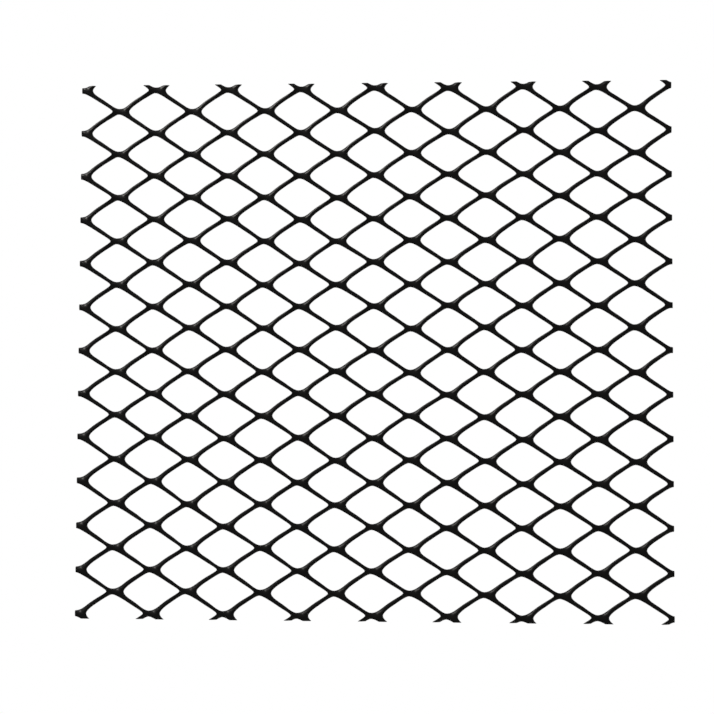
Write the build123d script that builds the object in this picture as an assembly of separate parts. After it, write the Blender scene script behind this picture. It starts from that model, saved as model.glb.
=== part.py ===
from build123d import *
import os
from math import atan, cos, degrees, radians, sin, tan

# Extruded diamond mesh. X runs along the fence, Z is up and the front faces -Y.
# The back of the mesh lies at Y = 0, and the middle weld of the bottom row is at the origin.
diamond_length = 43.0
diamond_height = 25.5
columns = 8
rows = 12
mesh_thickness = 2.6

# The strands that run from weld to weld. Each aims at a point beside the centre of its weld.
strand_width = 2.35
edge_bevel = 0.25 * strand_width
aim_offset = 0.75

# The welds. On its left the strands of a weld part in a sharp crotch that ends in a narrow flat.
# On its right they leave a round crotch at a steeper angle, the flare, and soon bend to their run.
neck_height = 1.45 * strand_width
sharp_crotch_width = 1.15
round_crotch_reach = 6.5
round_crotch_radius = 2.6
flare_turn = 8.5

# The roll is slit this far outside the top and bottom rows of welds, which leaves short stubs.
stub_length = 3.0

panel_length = columns * diamond_length
panel_height = rows * diamond_height
run_slope = diamond_height / (diamond_length - 4 * aim_offset)
run_angle = degrees(atan(run_slope))
flare_angle = run_angle + flare_turn
bevel_angle = degrees(atan(edge_bevel / (mesh_thickness / 2)))


def round_crotch_corners():
    """The tip and shoulder of the facets round the left end of an opening."""
    centre_x = round_crotch_reach + round_crotch_radius - diamond_length / 2
    half_turn = (90 - flare_angle) / 3
    reach = round_crotch_radius / cos(radians(half_turn))
    shoulder_turn = radians(2 * half_turn)
    tip = (centre_x - reach, 0)
    shoulder = (centre_x - reach * cos(shoulder_turn), reach * sin(shoulder_turn))
    return tip, shoulder


def opening_outline():
    """One diamond opening about its own centre, from its round left end over the top and back below."""
    strand_rise = strand_width / cos(radians(run_angle))
    peak = (diamond_height + run_slope * diamond_length - 2 * strand_rise) / 4
    top = (diamond_height - neck_height) / 2
    tip, shoulder = round_crotch_corners()

    flare_slope = tan(radians(flare_angle))
    bend_x = (peak - shoulder[1] + flare_slope * shoulder[0]) / (flare_slope - run_slope)
    bend = (bend_x, peak + run_slope * bend_x)
    saddle_left = ((top - peak) / run_slope, top)
    saddle_right = ((peak - top) / run_slope, top)
    sharp_end = ((peak - sharp_crotch_width / 2) / run_slope, sharp_crotch_width / 2)

    upper = [shoulder, bend, saddle_left, saddle_right, sharp_end]
    lower = [(x, -z) for x, z in reversed(upper)]
    return [tip] + upper + lower


def opening_cutter():
    """An opening that is narrowest at mid-depth, so that the strands round it are six-sided."""
    outline = make_face(Polyline(*opening_outline(), close=True))
    front_half = extrude(outline, amount=mesh_thickness)
    walls = front_half.faces().filter_by(Axis.Z, reverse=True)
    front_half = draft(walls, Plane.XY, -bevel_angle)
    return front_half + mirror(front_half, about=Plane.XY)


def mesh_panel():
    """The panel as it is cut from the roll: through the necks at its sides, past them above and below."""
    sheet = Box(panel_length, mesh_thickness, panel_height + 2 * stub_length)
    upright = Plane(origin=(0, 0, 0), x_dir=(1, 0, 0), z_dir=(0, -1, 0))
    cutter = opening_cutter()
    in_weld_rows = GridLocations(diamond_length, diamond_height, columns, rows + 1)
    between_rows = GridLocations(diamond_length, diamond_height, columns + 1, rows + 2)
    cutters = [upright * place * cutter for grid in (in_weld_rows, between_rows) for place in grid]
    return Pos(0, -mesh_thickness / 2, panel_height / 2) * (sheet - cutters)


os.makedirs("parts", exist_ok=True)
export_step(mesh_panel(), "parts/mesh_panel.step")
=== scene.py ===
from math import cos, radians, sin, sqrt, tan

import bmesh
import bpy
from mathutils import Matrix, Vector
from mathutils.geometry import interpolate_bezier


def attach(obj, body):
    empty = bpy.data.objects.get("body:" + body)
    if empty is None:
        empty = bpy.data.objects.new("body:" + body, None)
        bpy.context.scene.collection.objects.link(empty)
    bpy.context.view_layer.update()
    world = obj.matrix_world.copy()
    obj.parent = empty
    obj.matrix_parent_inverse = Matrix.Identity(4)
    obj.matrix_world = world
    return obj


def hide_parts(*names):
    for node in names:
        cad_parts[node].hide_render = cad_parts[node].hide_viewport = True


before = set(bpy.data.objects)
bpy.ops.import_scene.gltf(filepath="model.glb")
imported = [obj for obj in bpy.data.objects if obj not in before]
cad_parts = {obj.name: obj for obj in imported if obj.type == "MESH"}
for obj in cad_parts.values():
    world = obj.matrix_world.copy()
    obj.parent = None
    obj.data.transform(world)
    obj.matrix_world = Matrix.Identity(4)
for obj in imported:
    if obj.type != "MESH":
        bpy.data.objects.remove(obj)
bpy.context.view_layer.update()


# One weld and the half of each strand that leaves it. The mesh is high-density polyethylene with carbon
# black, pressed through two rings of slots that turn against each other. Where a front slot passes a rear
# one, both streams leave as one soft lump, the weld, and the haul-off then draws the strands out thin.

# Sizes are in millimetres, and points lie in the plane of the mesh, from the centre of a weld.
MM = 0.001
DIAMOND_LENGTH = 43.0
DIAMOND_HEIGHT = 25.5
MESH_THICKNESS = 2.6

# The strands half-way between two welds.
RISING_WIDTH = 2.55
RISING_ANGLE = 34.0
RISING_MIDDLE = Vector((10.75, 6.25))
FALLING_WIDTH = 2.4
FALLING_ANGLE = -33.0
FALLING_MIDDLE = Vector((10.75, -6.1))
STRAND_DEPTH = 1.5
STRAND_ROUNDNESS = 0.5

# How a strand rounds off at its edges and crest, and how soon it is drawn thin.
EDGE_ROUND = 0.45
DRAWN_OVER = 6.0
CREST_FALL = 0.2
CREST_HALF = 0.9

# The web beside a weld: its width, its slope in degrees, and where along the fence it starts and ends.
WEB_WIDTH = 2.1
WEB_SLOPE = 38.0
WEB_STARTS = 0.0
WEB_FULL_FROM = 1.6
WEB_FULL_TO = 3.8
WEB_ENDS = 7.5

# Faces across a strand, rows of them along its half, how they crowd towards the weld, and the rows that run
# beside a crease, by their distance from it.
ACROSS = 4
ALONG = 8
CROWD_AT_CROTCH = 1.35
ROOT_ROWS = (0.5, 1.1)


def heading(angle):
    """The direction at this many degrees above the run of the fence."""
    return Vector((cos(radians(angle)), sin(radians(angle))))


def strand_edges(middle, angle, width):
    """The upper and lower edge of a strand half-way between two welds."""
    up = heading(angle + 90) * width / 2
    return middle + up, middle - up


def smooth_line(start, start_angle, start_reach, end, end_angle, end_reach, points=80):
    """A curve that leaves start and meets end at the given headings, in evenly spaced points."""
    leave = start + heading(start_angle) * start_reach
    arrive = end - heading(end_angle) * end_reach
    return [point.to_2d() for point in interpolate_bezier(start, leave, arrive, end, points)]


def off_crease(crease, point):
    """How far a point lies to the side of a crease, or of the straight line that goes on from it."""
    along = (crease[1] - crease[0]).normalized()
    return abs(along.cross(point - crease[0]))


def stations(line, crease):
    """Points along a line from its crotch end: where it meets the crease, twice a little way off the crease,
    and then ever further apart as far as the middle of the strand."""
    points = [line[0]]
    for distance in ROOT_ROWS:
        n = next(i for i, point in enumerate(line) if off_crease(crease, point) >= distance)
        nearer, further = off_crease(crease, line[n - 1]), off_crease(crease, line[n])
        points.append(line[n - 1].lerp(line[n], (distance - nearer) / (further - nearer)))
    strand = [points[-1]] + line[n:]
    lengths = [0.0]
    for a, b in zip(strand, strand[1:]):
        lengths.append(lengths[-1] + (b - a).length)
    for step in range(1, ALONG + 1):
        want = lengths[-1] * (step / ALONG) ** CROWD_AT_CROTCH
        n = next((i for i, done in enumerate(lengths) if done >= want - 1e-9), len(strand) - 1)
        share = (want - lengths[n - 1]) / (lengths[n] - lengths[n - 1])
        points.append(strand[n - 1].lerp(strand[n], share))
    return points


def smooth_step(value):
    """A share from 0 to 1 that starts and ends gently."""
    value = min(1.0, max(0.0, value))
    return value * value * (3 - 2 * value)


def distance_to(line, point):
    """The distance from a point to the nearest place on a line of points."""
    distances = []
    for a, b in zip(line, line[1:]):
        run = b - a
        share = min(1.0, max(0.0, (point - a).dot(run) / run.length_squared))
        distances.append((a + run * share - point).length)
    return min(distances)


step_left = Vector((-DIAMOND_LENGTH / 2, 0))
step_up = Vector((0, DIAMOND_HEIGHT / 2))
rising_top, rising_bottom = strand_edges(RISING_MIDDLE, RISING_ANGLE, RISING_WIDTH)
falling_top, falling_bottom = strand_edges(FALLING_MIDDLE, FALLING_ANGLE, FALLING_WIDTH)
arriving_rise_top = rising_top + step_left - step_up
arriving_rise_bottom = rising_bottom + step_left - step_up
arriving_fall_top = falling_top + step_left + step_up
arriving_fall_bottom = falling_bottom + step_left + step_up

# The four edges of a weld as the eye sees them: a gentle saddle above the neck, a tighter one below it,
# the sharp crotch on the left, and on the right the round one that the strands leave steeply.
saddle = Vector((0.1, 1.6))
belly = Vector((-0.1, -1.82))
sharp_tip = Vector((-3.65, 0))
round_tip = Vector((6.5, 0))
saddle_left = smooth_line(saddle, 180, 2.4, arriving_fall_top, FALLING_ANGLE + 180, 5.3)
saddle_right = smooth_line(saddle, 0, 3.4, rising_top, RISING_ANGLE, 5.2)
belly_left = smooth_line(belly, 180, 1.9, arriving_rise_bottom, RISING_ANGLE + 180, 5.0)
belly_right = smooth_line(belly, 0, 2.2, falling_bottom, FALLING_ANGLE, 5.4)
sharp_above = smooth_line(sharp_tip, 90, 1.0, arriving_fall_bottom, FALLING_ANGLE + 180, 4.9)
sharp_below = smooth_line(sharp_tip, -90, 0.8, arriving_rise_top, RISING_ANGLE + 180, 4.7)
round_above = smooth_line(round_tip, 90, 1.35, rising_bottom, RISING_ANGLE, 2.5)
round_below = smooth_line(round_tip, -90, 1.9, falling_top, FALLING_ANGLE, 3.0)
outline = [
    saddle_left, saddle_right, belly_left, belly_right, sharp_above, sharp_below, round_above, round_below,
]

# In front the falling strand runs through the weld, between these two creases, and hides the rising one,
# which runs through at the back between the other two. Each strand meets the weld along a crease.
front_creases = [(saddle, round_tip), (sharp_tip, belly)]
back_creases = [(saddle, sharp_tip), (round_tip, belly)]
strand_patches = [
    ("falling", saddle_left, sharp_above),
    ("rising", saddle_right, round_above),
    ("falling", round_below, belly_right),
    ("rising", sharp_below, belly_left),
]

# Depths from the mid-plane: the faces of a weld, and the inner side of a strand once it is drawn thin.
FULL = MESH_THICKNESS / 2
SHALLOW = STRAND_DEPTH - FULL

# The web is the sloped shoulder of a strand that comes out from behind the other one, on the side where
# the two part most gently. It starts at the neck and dies out along the strand.
front_webs = (saddle_right, belly_left)
back_webs = (saddle_left, belly_right)


def crest(creases, point):
    """How far the strand that runs through has rounded off here, towards the creases at its sides."""
    nearest = min(distance_to(crease, point) for crease in creases)
    return CREST_FALL * max(0.0, 1 - nearest / CREST_HALF)


def down_web(edges, point):
    """How far the web has sloped away here, towards the edges of the mesh that it runs along."""
    from_neck = abs(point.x)
    starting = smooth_step((from_neck - WEB_STARTS) / (WEB_FULL_FROM - WEB_STARTS))
    ending = smooth_step((from_neck - WEB_FULL_TO) / (WEB_ENDS - WEB_FULL_TO))
    width = WEB_WIDTH * starting * (1 - ending)
    nearest = min(distance_to(edge, point) for edge in edges)
    return tan(radians(WEB_SLOPE)) * max(0.0, width - nearest)


def inner_side(crease, point):
    """The side of a strand that the other one hides in the weld: it starts level with the weld's face."""
    drawn = smooth_step(off_crease(crease, point) / DRAWN_OVER)
    return FULL - CREST_FALL - (FULL - CREST_FALL - SHALLOW) * drawn


def front_and_back(point, share=0.0, strand="both", crease=None, thinness=0.0):
    """The front and back of the mesh at a point, this share of the way across its strand, or in the weld
    itself, which is both strands. Thinness runs from 0 there to 1 where the strand is drawn thinnest."""
    front = inner_side(crease, point) if strand == "rising" else FULL - crest(front_creases, point)
    back = inner_side(crease, point) if strand == "falling" else FULL - crest(back_creases, point)
    front -= down_web(front_webs, point)
    back -= down_web(back_webs, point)
    inward = min(1.0, min(distance_to(line, point) for line in outline) / EDGE_ROUND)
    swell = sqrt(max(0.0, 1 - (1 - inward) ** 2))
    swell += (sin(radians(180 * share)) - swell) * thinness * STRAND_ROUNDNESS
    parting = (back - front) / 2
    return parting - (front + parting) * swell, parting + (back - parting) * swell


def eased(upper, lower):
    """Points across a strand, closer together at its edges, where it is rounder."""
    return [upper.lerp(lower, (1 - cos(radians(180 * n / ACROSS))) / 2) for n in range(ACROSS + 1)]


build = bmesh.new()
strand_run = build.loops.layers.uv.new("strand_run")
made = {}


def vertex_at(point, y):
    """The vertex at this place, made once and shared by the patches that meet there."""
    key = (round(point.x, 3), round(point.y, 3), round(y, 3))
    if key not in made:
        made[key] = build.verts.new((point.x * MM, y * MM, point.y * MM))
    return made[key]


def skin(sections, levels, crossed=False):
    """Faces over a grid of points, at the front (side 0) and at the back (side 1). A die line keeps its place
    across the strand, which runs along the grid, or at the back of a weld across it."""
    for m in range(len(sections) - 1):
        for n in range(ACROSS):
            for side in (0, 1):
                ring = [(m, n), (m + 1, n), (m + 1, n + 1), (m, n + 1)]
                face = build.faces.new([vertex_at(sections[i][j], levels[i][j][side]) for i, j in ring])
                face.smooth = True
                for loop, (i, j) in zip(face.loops, ring):
                    lane = i if crossed and side else j
                    loop[strand_run].uv = (sections[i][j].x / DIAMOND_LENGTH, (lane / ACROSS + side) / 2)


for strand, upper, lower in strand_patches:
    crease = (upper[0], lower[0])
    sections = [eased(a, b) for a, b in zip(stations(upper, crease), stations(lower, crease))]
    levels = []
    for m, section in enumerate(sections):
        thinness = smooth_step((m - len(ROOT_ROWS)) / ALONG)
        levels.append(
            [front_and_back(point, n / ACROSS, strand, crease, thinness) for n, point in enumerate(section)]
        )
    skin(sections, levels)

sharp_side = eased(sharp_tip, belly)
saddle_side = eased(saddle, round_tip)
weld_sections = [eased(a, b) for a, b in zip(saddle_side, sharp_side)]
weld_levels = [[front_and_back(point) for point in section] for section in weld_sections]
skin(weld_sections, weld_levels, crossed=True)

bmesh.ops.recalc_face_normals(build, faces=build.faces)
cell_mesh = bpy.data.meshes.new("weld_cell")
build.to_mesh(cell_mesh)
build.free()
weld_cell = bpy.data.objects.new("weld_cell", cell_mesh)
bpy.context.scene.collection.objects.link(weld_cell)


# The finish of the mesh: carbon-black high-density polyethylene, as extruded. It is a waxy black with a
# broad soft sheen that varies in clouds, faint lines that the die draws along each strand, and a slight
# ripple from uneven flow.
CLOUD_SIZE = 14 * MM
DIE_LINE_LENGTH = 20 * MM
DIE_LINES_AROUND = 60.0
DIE_LINE_DEPTH = 0.06 * MM
RIPPLE_SIZE = 1.1 * MM
RIPPLE_DEPTH = 0.1 * MM


def linear(hex_colour):
    """An sRGB hex colour as the linear values that shaders take."""
    channels = [int(hex_colour[n : n + 2], 16) / 255 for n in (0, 2, 4)]
    return [c / 12.92 if c <= 0.04045 else ((c + 0.055) / 1.055) ** 2.4 for c in channels] + [1.0]


def add_node(tree, kind, settings=None, values=None, links=None):
    """A node of this kind, with its settings, its sockets' values and what feeds them."""
    node = tree.nodes.new(kind)
    for name, value in (settings or {}).items():
        setattr(node, name, value)
    for socket, value in (values or {}).items():
        node.inputs[socket].default_value = value
    for socket, source in (links or {}).items():
        tree.links.new(source, node.inputs[socket])
    return node


black_polyethylene = bpy.data.materials.new("black_polyethylene_extruded")
black_polyethylene.use_nodes = True
tree = black_polyethylene.node_tree
tree.nodes.clear()
place = add_node(tree, "ShaderNodeTexCoord")
run = add_node(tree, "ShaderNodeUVMap", {"uv_map": "strand_run"})
cloud = add_node(
    tree, "ShaderNodeTexNoise", values={"Scale": 1 / CLOUD_SIZE, "Detail": 3.0, "Roughness": 0.6},
    links={"Vector": place.outputs["Object"]},
)
colour = add_node(tree, "ShaderNodeValToRGB", links={"Fac": cloud.outputs["Fac"]})
colour.color_ramp.elements[0].position = 0.35
colour.color_ramp.elements[0].color = linear("030303")
colour.color_ramp.elements[1].position = 0.75
colour.color_ramp.elements[1].color = linear("0a0908")
position = add_node(tree, "ShaderNodeSeparateXYZ", links={"Vector": place.outputs["Object"]})
across = add_node(tree, "ShaderNodeSeparateXYZ", links={"Vector": run.outputs["UV"]})
lanes = add_node(
    tree, "ShaderNodeCombineXYZ",
    links={"X": position.outputs["X"], "Y": across.outputs["Y"], "Z": position.outputs["Z"]},
)
stretched = add_node(
    tree, "ShaderNodeMapping",
    values={"Scale": (1 / DIE_LINE_LENGTH, DIE_LINES_AROUND, 1 / DIE_LINE_LENGTH)},
    links={"Vector": lanes.outputs["Vector"]},
)
die_lines = add_node(
    tree, "ShaderNodeTexNoise", values={"Scale": 1.0, "Detail": 2.0, "Roughness": 0.55},
    links={"Vector": stretched.outputs["Vector"]},
)
ripple = add_node(
    tree, "ShaderNodeTexNoise", values={"Scale": 1 / RIPPLE_SIZE, "Detail": 1.0},
    links={"Vector": place.outputs["Object"]},
)
ripple_bump = add_node(
    tree, "ShaderNodeBump", values={"Strength": 0.12, "Distance": RIPPLE_DEPTH},
    links={"Height": ripple.outputs["Fac"]},
)
line_bump = add_node(
    tree, "ShaderNodeBump", values={"Strength": 0.2, "Distance": DIE_LINE_DEPTH},
    links={"Height": die_lines.outputs["Fac"], "Normal": ripple_bump.outputs["Normal"]},
)
sheen_spread = add_node(
    tree, "ShaderNodeMapRange", values={"From Min": 0.3, "From Max": 0.7, "To Min": 0.33, "To Max": 0.41},
    links={"Value": cloud.outputs["Fac"]},
)

# The low index keeps the black deep where it faces the white room, and the webs still shine.
surface = add_node(
    tree, "ShaderNodeBsdfPrincipled", values={"IOR": 1.15, "Metallic": 0.0},
    links={
        "Base Color": colour.outputs["Color"],
        "Roughness": sheen_spread.outputs["Result"],
        "Normal": line_bump.outputs["Normal"],
    },
)
add_node(tree, "ShaderNodeOutputMaterial", links={"Surface": surface.outputs["BSDF"]})


# The panel. The netting comes off the machine as one piece without end, every weld from the same slots, and
# is slit to width and cut to length cold. Nothing is fastened to it, and its cut ends stay plain.
COLUMNS = 8
ROWS = 12

# It is cut this far outside the top and bottom rows of welds, which leaves short stubs.
STUB_LENGTH = 3.0

# Strands of neighbouring welds are joined where their ends lie this close.
SEAM_REACH = 0.02

# How far the welds wander, from one extreme to the other, and over what distance. The seed picks the drift.
WANDER = 2.0
WANDER_SPACING = 50.0
WANDER_SEED = 3.0

netting_inputs = [
    ("Weld", "NodeSocketObject", weld_cell),
    ("Columns", "NodeSocketInt", COLUMNS),
    ("Rows", "NodeSocketInt", ROWS),
    ("Diamond Length", "NodeSocketFloat", DIAMOND_LENGTH * MM),
    ("Diamond Height", "NodeSocketFloat", DIAMOND_HEIGHT * MM),
    ("Mid-plane Depth", "NodeSocketFloat", -MESH_THICKNESS / 2 * MM),
    ("Seam Reach", "NodeSocketFloat", SEAM_REACH * MM),
    ("Wander", "NodeSocketFloat", WANDER * MM),
    ("Wander Spacing", "NodeSocketFloat", WANDER_SPACING * MM),
    ("Finish", "NodeSocketMaterial", black_polyethylene),
]
netting = bpy.data.node_groups.new("diamond_netting", "GeometryNodeTree")
netting.is_modifier = True
identifiers = {}
for name, kind, value in netting_inputs:
    socket = netting.interface.new_socket(name, in_out="INPUT", socket_type=kind)
    identifiers[name] = socket.identifier
netting.interface.new_socket("Geometry", in_out="OUTPUT", socket_type="NodeSocketGeometry")
given = add_node(netting, "NodeGroupInput").outputs

# The welds stand on two grids, one over the whole panel and one between its lines, a bay shorter each way.
bays = add_node(netting, "ShaderNodeCombineXYZ", links={"X": given["Columns"], "Y": given["Rows"]})
diamond = add_node(
    netting, "ShaderNodeCombineXYZ", links={"X": given["Diamond Length"], "Y": given["Diamond Height"]}
)
all_welds = add_node(netting, "GeometryNodeJoinGeometry")
for fewer in (0, 1):
    grid_bays = add_node(
        netting, "ShaderNodeVectorMath", {"operation": "SUBTRACT"}, {1: (fewer, fewer, 0)},
        {0: bays.outputs["Vector"]},
    )
    grid_size = add_node(
        netting, "ShaderNodeVectorMath", {"operation": "MULTIPLY"},
        links={0: grid_bays.outputs["Vector"], 1: diamond.outputs["Vector"]},
    )
    grid_welds = add_node(
        netting, "ShaderNodeVectorMath", {"operation": "ADD"}, {1: (1, 1, 0)},
        {0: grid_bays.outputs["Vector"]},
    )
    size = add_node(netting, "ShaderNodeSeparateXYZ", links={"Vector": grid_size.outputs["Vector"]})
    welds = add_node(netting, "ShaderNodeSeparateXYZ", links={"Vector": grid_welds.outputs["Vector"]})
    grid = add_node(
        netting, "GeometryNodeMeshGrid",
        links={
            "Size X": size.outputs["X"],
            "Size Y": size.outputs["Y"],
            "Vertices X": welds.outputs["X"],
            "Vertices Y": welds.outputs["Y"],
        },
    )
    netting.links.new(grid.outputs["Mesh"], all_welds.inputs[0])

height = add_node(
    netting, "ShaderNodeMath", {"operation": "MULTIPLY"},
    links={0: given["Rows"], 1: given["Diamond Height"]},
)
middle = add_node(netting, "ShaderNodeMath", {"operation": "MULTIPLY"}, {1: 0.5}, {0: height.outputs[0]})
offset = add_node(
    netting, "ShaderNodeCombineXYZ", links={"Y": given["Mid-plane Depth"], "Z": middle.outputs[0]}
)
upright = add_node(
    netting, "GeometryNodeTransform", values={"Rotation": (radians(90), 0, 0)},
    links={"Geometry": all_welds.outputs[0], "Translation": offset.outputs[0]},
)
weld_shape = add_node(netting, "GeometryNodeObjectInfo", links={"Object": given["Weld"]})
placed = add_node(
    netting, "GeometryNodeInstanceOnPoints",
    links={"Points": upright.outputs["Geometry"], "Instance": weld_shape.outputs["Geometry"]},
)
real = add_node(netting, "GeometryNodeRealizeInstances", links={"Geometry": placed.outputs["Instances"]})
joined = add_node(
    netting, "GeometryNodeMergeByDistance",
    links={"Geometry": real.outputs["Geometry"], "Distance": given["Seam Reach"]},
)

# Uneven haul-off leaves the welds a little off their even places, so the netting wanders in its own plane,
# by up to half of WANDER each way.
place = add_node(netting, "GeometryNodeInputPosition")
scale = add_node(netting, "ShaderNodeMath", {"operation": "DIVIDE"}, {0: 1.0}, {1: given["Wander Spacing"]})
drift = add_node(
    netting, "ShaderNodeTexNoise", {"noise_dimensions": "4D"}, {"W": WANDER_SEED, "Detail": 0.0},
    {"Vector": place.outputs["Position"], "Scale": scale.outputs[0]},
)
centred = add_node(
    netting, "ShaderNodeVectorMath", {"operation": "SUBTRACT"}, {1: (0.5, 0.5, 0.5)},
    {0: drift.outputs["Color"]},
)
in_plane = add_node(netting, "ShaderNodeCombineXYZ", links={"X": given["Wander"], "Z": given["Wander"]})
offset_by = add_node(
    netting, "ShaderNodeVectorMath", {"operation": "MULTIPLY"},
    links={0: centred.outputs["Vector"], 1: in_plane.outputs["Vector"]},
)
wandered = add_node(
    netting, "GeometryNodeSetPosition",
    links={"Geometry": joined.outputs["Geometry"], "Offset": offset_by.outputs["Vector"]},
)
finished = add_node(
    netting, "GeometryNodeSetMaterial",
    links={"Geometry": wandered.outputs["Geometry"], "Material": given["Finish"]},
)
add_node(netting, "NodeGroupOutput", links={"Geometry": finished.outputs["Geometry"]})

start = bpy.data.objects.new("netting_start", bpy.data.meshes.new("netting_start"))
bpy.context.scene.collection.objects.link(start)
modifier = start.modifiers.new("diamond_netting", "NODES")
modifier.node_group = netting
for name, kind, value in netting_inputs:
    modifier[identifiers[name]] = value
bpy.context.view_layer.update()
evaluated = start.evaluated_get(bpy.context.evaluated_depsgraph_get())
panel_mesh = bpy.data.meshes.new_from_object(evaluated)
for used in (start, weld_cell):
    bpy.data.objects.remove(used)

panel = bmesh.new()
panel.from_mesh(panel_mesh)
half_length = COLUMNS * DIAMOND_LENGTH * MM / 2
top = (ROWS * DIAMOND_HEIGHT + STUB_LENGTH) * MM
for cut_at, outward in [
    ((-half_length, 0, 0), (-1, 0, 0)),
    ((half_length, 0, 0), (1, 0, 0)),
    ((0, 0, -STUB_LENGTH * MM), (0, 0, -1)),
    ((0, 0, top), (0, 0, 1)),
]:
    everything = panel.verts[:] + panel.edges[:] + panel.faces[:]
    cut = bmesh.ops.bisect_plane(panel, geom=everything, plane_co=cut_at, plane_no=outward, clear_outer=True)
    cut_edges = [item for item in cut["geom_cut"] if isinstance(item, bmesh.types.BMEdge)]
    ends = bmesh.ops.holes_fill(panel, edges=cut_edges, sides=0)
    for face in ends["faces"]:
        face.smooth = False
bmesh.ops.recalc_face_normals(panel, faces=panel.faces)
panel.to_mesh(panel_mesh)
panel.free()
mesh_panel = bpy.data.objects.new("mesh_web", panel_mesh)
bpy.context.scene.collection.objects.link(mesh_panel)
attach(mesh_panel, "root")
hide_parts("mesh_panel")


# The studio: a round table top of white paper, well below the mesh, in an evenly white room. Near the mesh
# the paper is lit as it lies and keeps the shadow, and towards its rim it fades into the white of the room.
FLOOR_LEVEL = -0.85
FLOOR_RADIUS = 3.0
LIT_RADIUS = 0.9
WHITE_RADIUS = 2.7

floor_build = bmesh.new()
bmesh.ops.create_circle(floor_build, cap_ends=True, segments=96, radius=FLOOR_RADIUS)
bmesh.ops.translate(floor_build, verts=floor_build.verts, vec=(0, 0, FLOOR_LEVEL))
floor_mesh = bpy.data.meshes.new("paper_floor")
floor_build.to_mesh(floor_mesh)
floor_build.free()
floor = bpy.data.objects.new("paper_floor", floor_mesh)
bpy.context.scene.collection.objects.link(floor)


def background_ray(tree):
    """1 for a ray that shows the background: from the camera, or by way of a reflection or through glass."""
    ray = add_node(tree, "ShaderNodeLightPath").outputs
    shown = ray["Is Camera Ray"]
    for other in ("Is Glossy Ray", "Is Transmission Ray"):
        either = add_node(tree, "ShaderNodeMath", {"operation": "MAXIMUM"}, links={0: shown, 1: ray[other]})
        shown = either.outputs[0]
    return shown


white_paper = bpy.data.materials.new("white_background_paper")
white_paper.use_nodes = True
tree = white_paper.node_tree
tree.nodes.clear()
place = add_node(tree, "ShaderNodeTexCoord")
from_middle = add_node(
    tree, "ShaderNodeVectorMath", {"operation": "LENGTH"}, links={0: place.outputs["Object"]}
)
fade = add_node(
    tree, "ShaderNodeMapRange", {"interpolation_type": "SMOOTHSTEP"},
    {"From Min": LIT_RADIUS, "From Max": WHITE_RADIUS}, {"Value": from_middle.outputs["Value"]},
)
fade_seen = add_node(
    tree, "ShaderNodeMath", {"operation": "MULTIPLY"},
    links={0: fade.outputs["Result"], 1: background_ray(tree)},
)
paper = add_node(tree, "ShaderNodeBsdfDiffuse", values={"Color": linear("f4f4f2")})
white = add_node(tree, "ShaderNodeEmission", values={"Color": linear("ffffff"), "Strength": 1.0})
mixed = add_node(
    tree, "ShaderNodeMixShader",
    links={0: fade_seen.outputs[0], 1: paper.outputs["BSDF"], 2: white.outputs["Emission"]},
)
add_node(tree, "ShaderNodeOutputMaterial", links={"Surface": mixed.outputs["Shader"]})
floor_mesh.materials.append(white_paper)

white_room = bpy.data.worlds.new("white_room")
white_room.use_nodes = True
tree = white_room.node_tree
tree.nodes.clear()
room_light = add_node(tree, "ShaderNodeBackground", values={"Color": linear("f6f5f2"), "Strength": 0.4})
room_white = add_node(tree, "ShaderNodeBackground", values={"Color": linear("ffffff"), "Strength": 1.0})
room = add_node(
    tree, "ShaderNodeMixShader",
    links={
        0: background_ray(tree),
        1: room_light.outputs["Background"],
        2: room_white.outputs["Background"],
    },
)
add_node(tree, "ShaderNodeOutputWorld", links={"Surface": room.outputs["Shader"]})
bpy.context.scene.world = white_room
bpy.context.scene.view_settings.view_transform = "Standard"


# Light and camera: a small soft box above on the left, which the sloped webs catch, a broad weak one in
# front on the left, and a long lens square on to the mesh.
def aim(thing, target):
    """Turns a lamp to face a point."""
    direction = Vector(target) - thing.location
    thing.rotation_euler = direction.to_track_quat("-Z", "Y").to_euler()


for name, spot, size, power, colour in [
    ("upper_lamp", (-0.68, -0.3, 1.25), 0.35, 32.0, "fffbf5"),
    ("front_lamp", (-1.3, -1.9, 0.9), 1.0, 8.0, "ffffff"),
]:
    lamp = bpy.data.lights.new(name, "AREA")
    lamp.size = size
    lamp.energy = power
    lamp.color = linear(colour)[:3]
    lamp_object = bpy.data.objects.new(name, lamp)
    lamp_object.location = spot
    aim(lamp_object, (0, 0, 0.15))
    bpy.context.scene.collection.objects.link(lamp_object)

# The camera is placed by matching the rows of welds to those of the photo.
camera = bpy.data.cameras.new("camera")
camera.lens = 85.0
camera.sensor_width = 36.0
camera.clip_start = 0.01
camera_object = bpy.data.objects.new("camera", camera)
camera_object.location = (0.0547, -0.9732, 0.0925)
camera_object.rotation_euler = (radians(93.314), radians(-0.253), radians(3.733))
bpy.context.scene.collection.objects.link(camera_object)
bpy.context.scene.camera = camera_object
